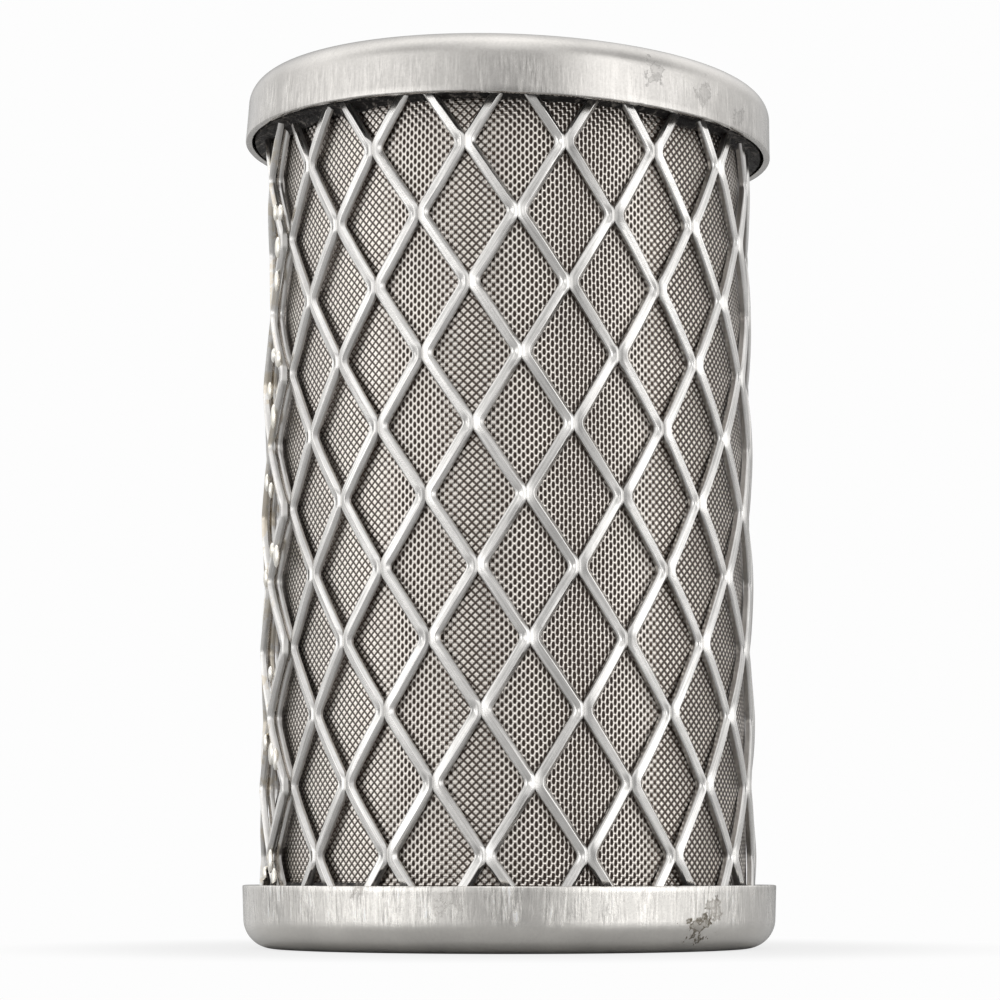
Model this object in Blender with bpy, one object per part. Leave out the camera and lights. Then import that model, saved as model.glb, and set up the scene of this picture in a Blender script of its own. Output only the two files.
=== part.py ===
"""Mesh filter element for a hydraulic line, in metres, with Z up and its front facing -Y.

A sleeve of woven wire cloth is wrapped round a perforated core. A guard of raised expanded
metal is rolled round the cloth and lapped along its seam. The ends of all three are potted in
drawn steel caps. The upper cap holds the outlet and its seal, and it was pressed on askew.
"""
import math

import bmesh
import bpy
from mathutils import Vector

# Fits
FIT = 0.0003
LAYER_GAP = 0.00015
ROUNDING = 1e-6

# Drawn end caps
CAP_OVERHANG = 0.0021
CAP_DEPTH = 0.0065
CAP_WALL = 0.0007
CAP_CORNER = 0.0031
CAP_DRAFT = math.radians(2.5)
CAP_SPACING = 0.0775
TOP_CAP_LEAN = math.radians(1.97)
CAP_SEGMENTS = 40
OUTER_CORNER_STEPS = 2
INNER_CORNER_STEPS = 1

# Outlet in the upper cap
OUTLET_DIAMETER = 0.0220
COLLAR_LENGTH = 0.0070
COLLAR_BEND = 0.0016

# Guard of raised expanded metal
DIAMONDS_ROUND = 16
DIAMOND_HEIGHT = 0.01406
GUARD_DIAMETER = 0.0518
GUARD_SHEET = 0.00065
STRAND_WIDTH = 0.0014
STRAND_TILT = math.radians(8.0)
BOND_LENGTH = 0.0014
COLUMN_LEAN = math.radians(1.7)
TOP_ROW_DROP = 0.0043
FRONT_COLUMN_ANGLE = math.radians(-9.7)
LAP_COLUMN = -7
LAP_COLUMNS = 2
LAP_RAMP = 3
LAP_RISE = 0.0001

# Woven cloth sleeve
CLOTH_WALL = 0.00045
WEAVE_RIDGE = 0.0001
CLOTH_GAP = 0.0010
CLOTH_LAP = 0.0004

# Perforated core
CORE_WALL = 0.0008
CORE_HOLE = 0.0072
CORE_HOLES_ROUND = 8
CORE_HOLE_ROWS = 3
CORE_HOLE_SIDES = 6

# Potting resin
POTTING_BASE = 0.0022
POTTING_RECESS = 0.0004
POTTING_LIP = 0.0012
POTTING_SEGMENTS = 32

# Outlet seal
SEAL_WALL = 0.0013
SEAL_HEIGHT = 0.0050
SEAL_LIP = 0.0008
SEAL_SEGMENTS = 24

# Heights that follow from the caps
CAP_RADIUS = GUARD_DIAMETER / 2 + CAP_OVERHANG
TOP_RIM_Z = CAP_DEPTH + CAP_SPACING
SEAT_DEPTH = CAP_DEPTH - CAP_WALL - FIT - POTTING_BASE
LEAN_DROP = GUARD_DIAMETER / 2 * math.sin(TOP_CAP_LEAN)
BOTTOM_END_Z = CAP_DEPTH - SEAT_DEPTH + FIT
TOP_END_Z = TOP_RIM_Z + SEAT_DEPTH * math.cos(TOP_CAP_LEAN) - LEAN_DROP - FIT

# Sizes that follow from the guard's pattern
HALF_COLUMNS = 2 * DIAMONDS_ROUND
COLUMN_STEP = 2 * math.pi / HALF_COLUMNS
ROW_STEP = DIAMOND_HEIGHT / 2
TOP_ROW_Z = TOP_RIM_Z - TOP_ROW_DROP
GUARD_DEPTH = 2 * STRAND_WIDTH * math.sin(STRAND_TILT) + GUARD_SHEET * math.cos(STRAND_TILT)
GUARD_RADIUS = (GUARD_DIAMETER - GUARD_DEPTH) / 2
LEAN_PER_METRE = math.tan(COLUMN_LEAN) / GUARD_RADIUS
LAYER_STEP = GUARD_SHEET / math.cos(STRAND_TILT) + LAYER_GAP
LAP_SINK = LAYER_STEP - LAP_RISE

# Sizes that follow from the cloth
CLOTH_RADIUS = GUARD_DIAMETER / 2 - GUARD_DEPTH - FIT
CLOTH_INNER_RADIUS = CLOTH_RADIUS - CLOTH_WALL
CORE_RADIUS = (CLOTH_INNER_RADIUS - LAP_SINK) * math.cos(COLUMN_STEP) - FIT
CORE_CLEAR_RADIUS = (CORE_RADIUS - CORE_WALL) * math.cos(math.pi / 2 / CORE_HOLES_ROUND)


def clear_scene():
    """Remove what the scene holds, so that the model starts empty."""
    for item in list(bpy.data.objects):
        bpy.data.objects.remove(item, do_unlink=True)


def make_material(name, colour, roughness, metallic):
    """A Principled material with one colour."""
    material = bpy.data.materials.new(name)
    material.use_nodes = True
    shader = material.node_tree.nodes["Principled BSDF"]
    shader.inputs["Base Color"].default_value = (*colour, 1.0)
    shader.inputs["Roughness"].default_value = roughness
    shader.inputs["Metallic"].default_value = metallic
    material.diffuse_color = (*colour, 1.0)
    return material


def add_object(name, bm, material, sharp_degrees=35.0):
    """Close a bmesh into a named, smooth-shaded object."""
    bmesh.ops.recalc_face_normals(bm, faces=bm.faces)
    mesh = bpy.data.meshes.new(name)
    bm.to_mesh(mesh)
    bm.free()
    mesh.shade_smooth()
    mesh.set_sharp_from_angle(angle=math.radians(sharp_degrees))
    mesh.materials.append(material)
    item = bpy.data.objects.new(name, mesh)
    bpy.context.scene.collection.objects.link(item)
    return item


def arc(centre, radius, start, end, steps):
    """Points of a profile's round corner, from one angle in degrees to another."""
    points = []
    for step in range(steps + 1):
        angle = math.radians(start + (end - start) * step / steps)
        points.append((centre[0] + radius * math.cos(angle), centre[1] + radius * math.sin(angle)))
    return points


def turned(name, profile, segments, material, closed=True):
    """Turn a profile of (radius, height) points about Z. An open one begins and ends on the axis."""
    bm = bmesh.new()
    points = [bm.verts.new((radius, 0.0, height)) for radius, height in profile]
    edges = [bm.edges.new(pair) for pair in zip(points, points[1:])]
    if closed:
        edges.append(bm.edges.new((points[-1], points[0])))
    bmesh.ops.spin(
        bm, geom=points + edges, cent=(0, 0, 0), axis=(0, 0, 1),
        angle=2 * math.pi, steps=segments, use_merge=True,
    )
    bmesh.ops.remove_doubles(bm, verts=bm.verts, dist=FIT / 100)
    return add_object(name, bm, material)


def on_cylinder(radius, angle, height):
    """A point at an angle from the front, positive towards +X."""
    return Vector((radius * math.sin(angle), -radius * math.cos(angle), height))


def column_angle(column, height):
    """Angle of a half column of diamonds. The columns lean towards +X on their way down."""
    return FRONT_COLUMN_ANGLE + column * COLUMN_STEP + (TOP_ROW_Z - height) * LEAN_PER_METRE


def smooth_step(value):
    """Ease from 0 to 1."""
    value = min(max(value, 0.0), 1.0)
    return value * value * (3 - 2 * value)


def outer_wall_radius(height):
    """Outer radius of a cap's drafted wall, at a height above its closed end."""
    return CAP_RADIUS - (CAP_DEPTH - height) * math.tan(CAP_DRAFT)


def cap_line(inset, top, steps):
    """The cap's outline, offset inwards: round corner, then drafted wall up to a height."""
    corner = (outer_wall_radius(CAP_CORNER) - CAP_CORNER, CAP_CORNER)
    return arc(corner, CAP_CORNER - inset, -90, 0, steps) + [(outer_wall_radius(top) - inset, top)]


def build_bottom_cap(material):
    """The closed drawn cup that the element stands on."""
    outside = cap_line(0.0, CAP_DEPTH, OUTER_CORNER_STEPS)
    inside = cap_line(CAP_WALL, CAP_DEPTH, INNER_CORNER_STEPS)
    profile = [(0.0, 0.0)] + outside + inside[::-1] + [(0.0, CAP_WALL)]
    return turned("bottom_end_cap", profile, CAP_SEGMENTS, material, closed=False)


def build_top_cap(material):
    """The drawn cup with the outlet. It is laid out closed end down and turned over by its parent."""
    bore = OUTLET_DIAMETER / 2
    bend_centre = (bore + COLLAR_BEND, COLLAR_BEND)
    outside = arc(bend_centre, COLLAR_BEND, 180, 270, OUTER_CORNER_STEPS)
    outside += cap_line(0.0, CAP_DEPTH, OUTER_CORNER_STEPS)
    inside = cap_line(CAP_WALL, CAP_DEPTH, INNER_CORNER_STEPS)[::-1]
    inside += [(bend_centre[0], CAP_WALL), (bore + CAP_WALL, COLLAR_BEND)]
    collar_end = [(bore + CAP_WALL, COLLAR_LENGTH), (bore, COLLAR_LENGTH)]
    return turned("top_end_cap", outside + inside + collar_end, CAP_SEGMENTS, material)


def build_potting(name, material):
    """Resin that follows the cap's inside, with the seat where guard, cloth and core end."""
    floor = CAP_WALL + FIT
    seat = floor + POTTING_BASE
    surface = CAP_DEPTH - POTTING_RECESS
    seat_inner = CORE_CLEAR_RADIUS - FIT
    profile = [(seat_inner - POTTING_LIP, floor)]
    profile += cap_line(CAP_WALL + FIT, seat, INNER_CORNER_STEPS)
    profile += [(seat_inner, seat), (seat_inner, surface), (seat_inner - POTTING_LIP, surface)]
    return turned(name, profile, POTTING_SEGMENTS, material)


def build_seal(material):
    """Rubber ring in the outlet, with a lip that narrows its inner end."""
    outer = OUTLET_DIAMETER / 2 - FIT
    inner = outer - SEAL_WALL
    start = COLLAR_BEND
    end = start + SEAL_HEIGHT
    profile = [(inner, start), (outer, start), (outer, end), (inner - SEAL_LIP, end)]
    profile += [(inner - SEAL_LIP, end - SEAL_LIP), (inner, end - 2 * SEAL_LIP)]
    return turned("outlet_seal", profile, SEAL_SEGMENTS, material)


def lap_shift(column):
    """How far the guard's sheet lies outside its true radius, going round from edge to edge."""
    last = LAP_COLUMN + HALF_COLUMNS
    sunk = 1 - smooth_step((column - LAP_COLUMN - LAP_COLUMNS) / LAP_RAMP)
    raised = smooth_step((column - last + LAP_RAMP) / LAP_RAMP)
    return LAP_RISE * raised - LAP_SINK * sunk


def strand_levels():
    """Heights of a strand's rings from the top down: its ends, and both ends of each bond."""
    levels = [TOP_END_Z]
    row = -1
    while TOP_ROW_Z - row * ROW_STEP > BOTTOM_END_Z - BOND_LENGTH:
        height = TOP_ROW_Z - row * ROW_STEP
        for level in (height + BOND_LENGTH / 2, height - BOND_LENGTH / 2):
            if BOTTOM_END_Z < level < TOP_END_Z:
                levels.append(level)
        row += 1
    return levels + [BOTTOM_END_Z]


def row_position(height):
    """The row of bonds at or above a height, and how far down the way to the next row it lies."""
    rows = (TOP_ROW_Z - height) / ROW_STEP
    row = math.floor(rows + BOND_LENGTH / 2 / ROW_STEP + ROUNDING)
    share = ((rows - row) * ROW_STEP - BOND_LENGTH / 2) / (ROW_STEP - BOND_LENGTH)
    return row, share if share > ROUNDING else 0.0


def strand_centre(strand, height):
    """Column, side step and outward step of a strand's centre line, which zigzags down the sheet."""
    row, share = row_position(height)

    def bonded(at_row):
        column = strand if (strand + at_row) % 2 == 0 else strand + 1
        side = 1 if column == strand else -1
        return column, side

    column, side = bonded(row)
    next_column, next_side = bonded(row + 1)
    column += share * (next_column - column)
    side += share * (next_side - side)
    half = STRAND_WIDTH / 2
    return column, side * half * math.cos(STRAND_TILT), side * half * math.sin(STRAND_TILT)


def guard_point(strand, height, side, face):
    """A corner of a strand's section: side -1 or 1 across it, face -1 inside or 1 outside."""
    column, across, outward = strand_centre(strand, height)
    across += side * STRAND_WIDTH / 2 * math.cos(STRAND_TILT)
    across -= face * GUARD_SHEET / 2 * math.sin(STRAND_TILT)
    outward += side * STRAND_WIDTH / 2 * math.sin(STRAND_TILT)
    outward += face * GUARD_SHEET / 2 * math.cos(STRAND_TILT)
    radius = GUARD_RADIUS + lap_shift(column)
    angle = column_angle(column, height) + across / radius
    return on_cylinder(radius + outward, angle, height)


def bond_column(strand, height):
    """The column at which a strand is bonded at a height, or None between two rows."""
    row, share = row_position(height)
    if share > 0:
        return None
    return strand if (strand + row) % 2 == 0 else strand + 1


def build_guard(material):
    """Raised expanded metal: zigzag strands side by side, each bonded to both neighbours in turn."""
    first = LAP_COLUMN
    last = LAP_COLUMN + HALF_COLUMNS + LAP_COLUMNS - 1
    levels = strand_levels()
    bm = bmesh.new()
    corners = {}

    def corner(strand, level, side, face):
        height = levels[level]
        column = bond_column(strand, height)
        bonded_side = None if column is None else (-1 if column == strand else 1)
        shared = bonded_side == side and first < column <= last
        key = (column, level, face) if shared else (strand, level, side, face)
        if key not in corners:
            corners[key] = bm.verts.new(guard_point(strand, height, side, face))
        return corners[key]

    def bonded(strand, level, side):
        """Whether the stretch below a level is a bond whose side joins a neighbour."""
        columns = [bond_column(strand, levels[at]) for at in (level, level + 1)]
        if columns[0] is None or columns[0] != columns[1]:
            return False
        wanted = strand if side == -1 else strand + 1
        return columns[0] == wanted and first < wanted <= last

    around = [(-1, -1), (1, -1), (1, 1), (-1, 1)]
    for strand in range(first, last + 1):
        for level in range(len(levels) - 1):
            for index, here in enumerate(around):
                there = around[(index + 1) % 4]
                if here[0] == there[0] and bonded(strand, level, here[0]):
                    continue
                upper = [corner(strand, level, *here), corner(strand, level, *there)]
                lower = [corner(strand, level + 1, *there), corner(strand, level + 1, *here)]
                bm.faces.new(upper + lower)
        for level in (0, len(levels) - 1):
            bm.faces.new([corner(strand, level, *place) for place in around])
    return add_object("guard_sleeve", bm, material)


def cloth_sink(column):
    """How far the guard's inner layer presses the cloth in, with room on both sides of the lap."""
    column = (column - LAP_COLUMN + DIAMONDS_ROUND) % HALF_COLUMNS - DIAMONDS_ROUND
    after = 1 - smooth_step((column - LAP_COLUMNS - 1) / LAP_RAMP)
    before = 1 - smooth_step((-column - 1) / LAP_RAMP)
    return LAP_SINK * min(after, before)


def cloth_levels():
    """Heights of the cloth's rings: its ends and both edges of each row of gaps."""
    levels = [TOP_END_Z]
    row = 1
    while TOP_ROW_Z - row * ROW_STEP - CLOTH_GAP > BOTTOM_END_Z + CAP_DEPTH:
        height = TOP_ROW_Z - row * ROW_STEP
        levels += [height + CLOTH_GAP / 2, height - CLOTH_GAP / 2]
        row += 2
    return levels + [BOTTOM_END_Z]


def build_cloth(material):
    """One wall with woven ridges. A gap stands in the middle of every second diamond."""
    levels = cloth_levels()
    half_gap = CLOTH_GAP / 2 / CLOTH_RADIUS / COLUMN_STEP
    bm = bmesh.new()
    outside = []
    inside = []
    for level, height in enumerate(levels):
        outer_ring = []
        inner_ring = []
        for turn in range(DIAMONDS_ROUND):
            gap_column = 2 * turn
            over = (turn + level // 2) % 2
            for column in (gap_column - half_gap, gap_column + half_gap, gap_column + 1):
                ridge = over if column == gap_column + 1 else 1 - over
                radius = CLOTH_RADIUS - cloth_sink(column) - WEAVE_RIDGE * (1 - ridge)
                angle = column_angle(column, height)
                outer_ring.append(bm.verts.new(on_cylinder(radius, angle, height)))
            for column in (gap_column - half_gap, gap_column + half_gap):
                lapped = turn == 0 and column > gap_column or turn == 1 and column < gap_column
                radius = CLOTH_INNER_RADIUS - cloth_sink(column) - CLOTH_LAP * lapped
                angle = column_angle(column, height)
                inner_ring.append(bm.verts.new(on_cylinder(radius, angle, height)))
        outside.append(outer_ring)
        inside.append(inner_ring)

    for rings, per_turn in ((outside, 3), (inside, 2)):
        count = len(rings[0])
        for level in range(len(levels) - 1):
            for index in range(count):
                if index % per_turn == 0 and level % 2 == 1:
                    continue
                after = (index + 1) % count
                upper = [rings[level][index], rings[level][after]]
                bm.faces.new(upper + [rings[level + 1][after], rings[level + 1][index]])
    for turn in range(DIAMONDS_ROUND):
        for level in range(1, len(levels) - 1, 2):
            outer = [outside[level][3 * turn], outside[level][3 * turn + 1]]
            outer += [outside[level + 1][3 * turn + 1], outside[level + 1][3 * turn]]
            inner = [inside[level][2 * turn], inside[level][2 * turn + 1]]
            inner += [inside[level + 1][2 * turn + 1], inside[level + 1][2 * turn]]
            for index in range(4):
                after = (index + 1) % 4
                bm.faces.new([outer[index], outer[after], inner[after], inner[index]])
        for level in (0, -1):
            outer = [outside[level][(3 * turn + step) % (3 * DIAMONDS_ROUND)] for step in range(4)]
            inner = [inside[level][(2 * turn + step) % (2 * DIAMONDS_ROUND)] for step in range(3)]
            bm.faces.new([outer[0], outer[1], inner[1], inner[0]])
            bm.faces.new([outer[1], outer[2], outer[3], inner[2], inner[1]])
    return add_object("filter_cloth", bm, material)


def build_core(material):
    """A tube with staggered rows of punched holes, laid out as cells and rolled."""
    radii = (CORE_RADIUS, CORE_RADIUS - CORE_WALL)
    cell_angle = 2 * math.pi / CORE_HOLES_ROUND
    cell_height = (TOP_END_Z - BOTTOM_END_Z) / CORE_HOLE_ROWS
    half_steps = 2 * CORE_HOLES_ROUND
    bm = bmesh.new()
    rings = []
    for row in range(CORE_HOLE_ROWS + 1):
        height = BOTTOM_END_Z + row * cell_height
        rings.append([
            [bm.verts.new(on_cylinder(radius, step * cell_angle / 2, height)) for step in range(half_steps)]
            for radius in radii
        ])
    for row in range(CORE_HOLE_ROWS):
        for hole in range(CORE_HOLES_ROUND):
            start = 2 * hole + row % 2
            steps = [(start + step) % half_steps for step in range(3)]
            centre_angle = (start + 1) * cell_angle / 2
            centre_height = BOTTOM_END_Z + (row + 0.5) * cell_height
            rims = []
            for face, radius in enumerate(radii):
                rim = []
                for side in range(CORE_HOLE_SIDES):
                    turn = 2 * math.pi * side / CORE_HOLE_SIDES
                    angle = centre_angle - CORE_HOLE / 2 * math.cos(turn) / radius
                    height = centre_height + CORE_HOLE / 2 * math.sin(turn)
                    rim.append(bm.verts.new(on_cylinder(radius, angle, height)))
                rims.append(rim)
                upper = [rings[row + 1][face][step] for step in steps]
                lower = [rings[row][face][step] for step in steps]
                half = CORE_HOLE_SIDES // 2
                upper_rim = rim[:half + 1]
                lower_rim = [rim[0]] + rim[:half - 1:-1]
                for edge, corners in ((upper, upper_rim), (lower, lower_rim)):
                    bm.faces.new([edge[0], corners[1], corners[0]])
                    bm.faces.new([edge[0], edge[1], corners[1]])
                    bm.faces.new([edge[1], corners[2], corners[1]])
                    bm.faces.new([edge[1], edge[2], corners[2]])
                    bm.faces.new([edge[2], corners[3], corners[2]])
                bm.faces.new([upper[0], rim[0], lower[0]])
                bm.faces.new([upper[2], lower[2], rim[half]])
            for side in range(CORE_HOLE_SIDES):
                after = (side + 1) % CORE_HOLE_SIDES
                bm.faces.new([rims[0][side], rims[0][after], rims[1][after], rims[1][side]])
    for row in (0, CORE_HOLE_ROWS):
        for step in range(half_steps):
            after = (step + 1) % half_steps
            outer, inner = rings[row]
            bm.faces.new([outer[step], outer[after], inner[after], inner[step]])
    return add_object("core_tube", bm, material)


def main():
    """Build each piece and set the upper end on its lean."""
    clear_scene()
    cap_steel = make_material("cap_steel", (0.62, 0.61, 0.59), 0.36, 1.0)
    guard_steel = make_material("guard_steel", (0.74, 0.73, 0.71), 0.26, 1.0)
    cloth_steel = make_material("cloth_steel", (0.47, 0.44, 0.41), 0.45, 1.0)
    core_steel = make_material("core_steel", (0.50, 0.49, 0.47), 0.40, 1.0)
    resin = make_material("potting_resin", (0.035, 0.031, 0.028), 0.80, 0.0)
    rubber = make_material("seal_rubber", (0.020, 0.020, 0.021), 0.65, 0.0)

    build_bottom_cap(cap_steel)
    build_potting("bottom_potting", resin)
    build_core(core_steel)
    build_cloth(cloth_steel)
    build_guard(guard_steel)

    top_end = bpy.data.objects.new("top_end", None)
    bpy.context.scene.collection.objects.link(top_end)
    face_x = CAP_DEPTH * math.sin(TOP_CAP_LEAN)
    face_z = TOP_RIM_Z + CAP_DEPTH * math.cos(TOP_CAP_LEAN)
    top_end.rotation_euler = (math.pi, TOP_CAP_LEAN, 0.0)
    top_end.location = (face_x, 0.0, face_z)
    for piece in (build_top_cap(cap_steel), build_potting("top_potting", resin), build_seal(rubber)):
        piece.parent = top_end


main()
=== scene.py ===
"""Looks of a mesh filter element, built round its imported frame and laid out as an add-on."""
import math

import bmesh
import bpy
import numpy as np
from bpy.props import FloatProperty, FloatVectorProperty, IntProperty, PointerProperty
from mathutils import Euler, Matrix, Vector, noise


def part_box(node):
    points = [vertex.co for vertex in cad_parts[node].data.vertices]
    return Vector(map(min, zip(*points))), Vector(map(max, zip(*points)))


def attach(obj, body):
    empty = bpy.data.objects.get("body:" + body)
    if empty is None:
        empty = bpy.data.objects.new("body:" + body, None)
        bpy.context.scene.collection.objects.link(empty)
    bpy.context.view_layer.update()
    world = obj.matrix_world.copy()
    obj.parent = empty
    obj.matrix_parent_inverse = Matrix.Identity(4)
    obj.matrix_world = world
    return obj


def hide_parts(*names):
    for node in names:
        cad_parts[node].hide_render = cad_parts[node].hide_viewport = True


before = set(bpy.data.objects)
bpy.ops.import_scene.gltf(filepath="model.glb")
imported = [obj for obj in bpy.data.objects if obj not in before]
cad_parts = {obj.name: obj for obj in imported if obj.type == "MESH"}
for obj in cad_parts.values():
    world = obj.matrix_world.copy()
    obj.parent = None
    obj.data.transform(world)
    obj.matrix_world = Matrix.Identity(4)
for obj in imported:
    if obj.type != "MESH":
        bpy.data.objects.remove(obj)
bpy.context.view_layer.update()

bl_info = {
    "name": "Mesh filter element",
    "version": (1, 0, 0),
    "blender": (4, 5, 0),
    "location": "3D View > Sidebar > Filter",
    "description": "Makes the detailed pieces of a mesh filter element and a plain stage for it",
    "category": "Add Mesh",
}

MM = 0.001
CAP_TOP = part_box("bottom_end_cap")[1]
SLEEVE_LOW, SLEEVE_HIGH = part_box("guard_sleeve")
CORE_LOW, CORE_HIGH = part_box("core_tube")


def linear(colour):
    """Linear RGB of an sRGB hex colour such as #C8C5C1."""
    shares = [int(colour[at:at + 2], 16) / 255 for at in (1, 3, 5)]
    return tuple(s / 12.92 if s <= 0.04045 else ((s + 0.055) / 1.055) ** 2.4 for s in shares)


def length(name, description, default):
    """A size that a user may change."""
    return FloatProperty(
        name=name, description=description, default=default, subtype="DISTANCE", unit="LENGTH", precision=5)


def angle(name, description, degrees):
    """An angle that a user may change."""
    return FloatProperty(name=name, description=description, default=math.radians(degrees), subtype="ANGLE")


def colour(name, description, hex_colour):
    """A colour that a user may change."""
    return FloatVectorProperty(
        name=name, description=description, default=linear(hex_colour), subtype="COLOR", size=3, min=0, max=1)


class CapSettings(bpy.types.PropertyGroup):
    radius: length("Rim radius", "Outer radius of a cap at its rim", CAP_TOP.x)
    depth: length("Depth", "Height of a cap from its closed end to its rim", CAP_TOP.z)
    wall: length("Sheet", "Thickness of the drawn sheet", 0.7 * MM)
    corner: length("Corner radius", "Outer radius between the closed end and the wall", 3.1 * MM)
    upper_corner: length("Upper corner radius", "The same on the upper cap, which was drawn sharper", 2.5 * MM)
    lower_trim: length("Lower trim", "How much smaller the lower cap is", 0.25 * MM)
    draft: angle("Draft", "Taper of the wall towards the closed end", 2.5)
    rim_height: length("Upper rim", "Height of the upper cap's rim on the axis", 84.0 * MM)
    lean: angle("Lean", "How far the upper cap was pressed on askew", 1.97)
    outlet: length("Outlet radius", "Inner radius of the collar in the upper cap", 11.0 * MM)
    collar: length("Collar length", "Depth of the collar from the upper face", 7.0 * MM)
    bend: length("Collar bend", "Outer radius where the face turns into the collar", 1.6 * MM)
    tint: colour("Upper steel", "Colour of the upper cap's steel", "#C9C6C2")
    # Painted light: the lower cap's steel is a brighter copy of the same steel, standing in for the brighter
    # light on it.
    lower_tint: colour("Lower steel", "Colour of the lower cap's steel, brighter from handling", "#E2DFDA")


class GuardSettings(bpy.types.PropertyGroup):
    diamonds: IntProperty(name="Diamonds round", description="Openings in one turn", default=16, min=4)
    row_step: length("Row step", "Half the height of a diamond", 7.03 * MM)
    radius: length("Mean radius", "Radius of the middle of the sheet", 25.38 * MM)
    sheet: length("Sheet", "Thickness of the sheet", 0.65 * MM)
    strand: length("Strand width", "Width of the sheet between two slits", 1.4 * MM)
    bond: length("Bond length", "How far two strands stay joined", 1.45 * MM)
    bend: length("Bend length", "Length of the bend on a strand's free side", 0.4 * MM)
    tilt: angle("Tilt", "How far the strands stand up from the sleeve", 8)
    twist: angle("Twist", "How much more the strands tilt on the way left than right", 3)
    lean: angle("Column lean", "How far the columns lean from upright", 1.7)
    front: angle("Front column", "Angle of the column nearest to the front", -9.7)
    top_row: length("Top row", "Height of the highest row of joints", 79.7 * MM)
    first: IntProperty(name="Lap column", description="Half column at which the sheet begins", default=-7)
    lap: IntProperty(name="Lap columns", description="Half columns that lie double", default=2, min=0)
    lap_sink: length("Lap depth", "How far the under layer is pressed in", 0.705 * MM)
    lap_rise: length("Lap rise", "How far the upper layer stands out", 0.1 * MM)
    dent: length("Dent", "Depth of the dent at the left", 0.75 * MM)
    dent_height: length("Dent height", "Height of the middle of the dent", 69.5 * MM)
    waviness: length("Waviness", "How far the strands wander from the true pattern", 0.15 * MM)
    tint: colour("Steel", "Colour of the guard's steel", "#E4E2DF")


class ClothSettings(bpy.types.PropertyGroup):
    radius: length("Radius", "Outer radius of the cloth", 24.78 * MM)
    wall: length("Thickness", "Thickness of the cloth", 0.4 * MM)
    wires: IntProperty(name="Wires round", description="Upright wires in one turn", default=370, min=8)
    pitch: length("Pitch", "Distance from one level wire to the next", 0.4135 * MM)
    tint: colour("Wire", "Colour of the wire", "#FFF8F0")
    # The gap colour is painted shade: the dark seen through the openings and on the wire that the light misses.
    gap_tint: colour("Gap", "Colour of the dark behind the wires", "#3B2E25")


class InnerSettings(bpy.types.PropertyGroup):
    core_wall: length("Core sheet", "Thickness of the core's sheet", 0.8 * MM)
    core_hole: length("Core hole", "Diameter of the holes in the core", 7.2 * MM)
    core_tint: colour("Core steel", "Colour of the core's steel", "#BDBAB5")
    resin_tint: colour("Resin", "Colour of the potting resin", "#15110F")
    seal_tint: colour("Rubber", "Colour of the seal", "#1B1B1C")


class StageSettings(bpy.types.PropertyGroup):
    lens: FloatProperty(name="Lens", description="Focal length in millimetres", default=112.8)
    distance: length("Camera distance", "Distance of the camera from the axis", 329.0 * MM)
    height: length("Camera height", "Height of the camera over the floor", 8.06 * MM)
    pitch: angle("Camera pitch", "How far the camera looks up", 6.73)
    light_tint: colour("Light", "Colour of the light", "#FFFFFF")
    backdrop_tint: colour("Backdrop", "Colour of the backdrop", "#FDFDFD")
    floor_tint: colour("Floor", "Colour of the floor", "#B4B4B4")


# Small tools

def feed(tree, node, inputs):
    """Fill a node's inputs. Each takes a value, or the socket that feeds it."""
    for key, value in inputs.items():
        if isinstance(value, bpy.types.NodeSocket):
            tree.links.new(value, node.inputs[key])
        else:
            node.inputs[key].default_value = value


def add(tree, kind, inputs=None, out=0, **settings):
    """Add a node with its settings and inputs, and give one of its outputs, or all for None."""
    node = tree.nodes.new(kind)
    for name, value in settings.items():
        setattr(node, name, value)
    feed(tree, node, inputs or {})
    if out is None or not node.outputs:
        return node.outputs
    return node.outputs[out]


MIX_A, MIX_B, MIX_OUT = 6, 7, 2  # a Mix node's sockets for colours
SIGNS = {"+": "ADD", "-": "SUBTRACT", "*": "MULTIPLY", "/": "DIVIDE", ">": "GREATER_THAN", "<": "LESS_THAN"}


def work_out(tree, values, formulas):
    """Add the Math nodes for some formulas, and give the values with their results.

    A formula reads "result = term sign term", "term * term + term", "term + term * term" or
    "term OPERATION terms". After a comma, the next step goes on from the result so far.
    """
    for line in formulas.strip().splitlines():
        result, _, steps = line.strip().partition(" = ")
        if line.strip().startswith("#"):
            continue
        so_far = ""
        for step in steps.split(", "):
            first, sign, *others = (so_far + step).split()
            so_far = result + " "
            if others[1:2] == ["+"]:
                sign, others = "MULTIPLY_ADD", others[::2]
            elif others[1:2] == ["*"]:
                sign, first, others = "MULTIPLY_ADD", others[0], [others[2], first]
            terms = [values[term] if term in values else float(term) for term in (first, *others)]
            sign = SIGNS.get(sign, sign)
            values[result] = add(tree, "ShaderNodeMath", dict(enumerate(terms)), operation=sign)
    return values


def new_tree(name, **inputs):
    """A Geometry Nodes tree and its inputs, given as names for each kind beside the geometry."""
    tree = bpy.data.node_groups.new(name, "GeometryNodeTree")
    tree.is_modifier = True
    tree.interface.new_socket("Geometry", in_out="INPUT", socket_type="NodeSocketGeometry")
    tree.interface.new_socket("Geometry", in_out="OUTPUT", socket_type="NodeSocketGeometry")
    for kind, names in inputs.items():
        for socket in names.split():
            tree.interface.new_socket(socket, in_out="INPUT", socket_type="NodeSocket" + kind)
    return tree, {socket.name: socket for socket in add(tree, "NodeGroupInput", out=None) if socket.name}


def close_tree(tree, geometry, material):
    """End a tree: real geometry, then its material, then the way out."""
    joined = add(tree, "GeometryNodeRealizeInstances", {0: geometry})
    dressed = add(tree, "GeometryNodeSetMaterial", {"Geometry": joined, "Material": material})
    add(tree, "NodeGroupOutput", {0: dressed})
    return tree


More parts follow.
